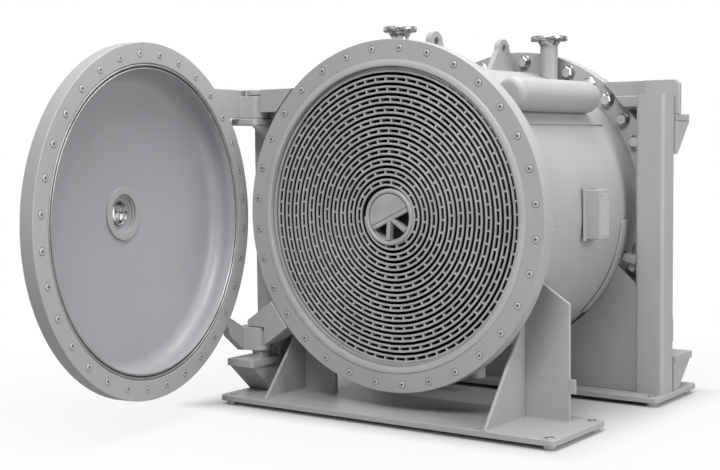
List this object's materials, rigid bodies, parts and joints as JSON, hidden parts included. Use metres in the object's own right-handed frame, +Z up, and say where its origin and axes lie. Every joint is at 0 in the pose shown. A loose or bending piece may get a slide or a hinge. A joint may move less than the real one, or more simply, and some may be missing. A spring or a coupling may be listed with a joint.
{
  "type": "spiral heat exchanger",
  "caption": "Drum-shaped spiral heat exchanger on two saddles, with wound flow channels and a hinged dished cover at each end, the front one swung open.",
  "frame": {"origin": "floor level, in the middle of the eight anchor holes", "axes": "+X to the right across the drum, +Y along the drum's axis from the front end to the rear end, +Z up"},
  "size_m": [1.4504, 2.3202, 1.346],
  "materials": {
    "grey_paint": "satin mid-grey paint",
    "stainless": "brushed stainless steel",
    "plain_steel": "plain steel"
  },
  "bodies": {
    "vessel": {"front_base_plate": "grey_paint", "rear_base_plate": "grey_paint", "front_saddle_webs": "grey_paint", "rear_saddle_webs": "grey_paint", "front_saddle_gussets": "grey_paint", "rear_saddle_gussets": "grey_paint", "front_saddle_bands": "grey_paint", "rear_saddle_bands": "grey_paint", "saddle_band_stops": "grey_paint", "shell": "grey_paint", "front_flange": "grey_paint", "rear_flange": "grey_paint", "vent_nozzles": "stainless", "drain_nozzle": "grey_paint", "header_pipes": "grey_paint", "header_pads": "grey_paint", "lifting_lugs": "grey_paint", "plate_holder": "grey_paint", "earthing_tabs": "grey_paint", "left_hinge_post": "grey_paint", "right_hinge_post": "grey_paint", "left_upper_shelf": "grey_paint", "right_upper_shelf": "grey_paint", "left_lower_shelf": "grey_paint", "right_lower_shelf": "grey_paint", "left_upper_bracket": "grey_paint", "right_upper_bracket": "grey_paint", "left_lower_bracket": "grey_paint", "right_lower_bracket": "grey_paint", "spiral_channels": "stainless", "core_tube": "plain_steel", "core_caps": "plain_steel", "hinge_pins": "plain_steel", "base_feet": "plain_steel"},
    "front_cover": {"front_cover_flange": "grey_paint", "front_cover_dish": "grey_paint", "front_cover_nozzle": "stainless", "front_cover_arms": "grey_paint"},
    "rear_cover": {"rear_cover_flange": "grey_paint", "rear_cover_dish": "grey_paint", "rear_cover_nozzle": "stainless", "rear_cover_arms": "grey_paint"}
  },
  "joints": [
    {"name": "front_cover_hinge", "type": "hinge", "parent": "vessel", "child": "front_cover", "pos_m": [-0.595, -0.446, 0.698], "axis": [0, 0, 1], "range_deg": [-29, 81]},
    {"name": "rear_cover_hinge", "type": "hinge", "parent": "vessel", "child": "rear_cover", "pos_m": [0.595, 0.446, 0.698], "axis": [0, 0, 1], "range_deg": [-110, 0]}
  ]
}
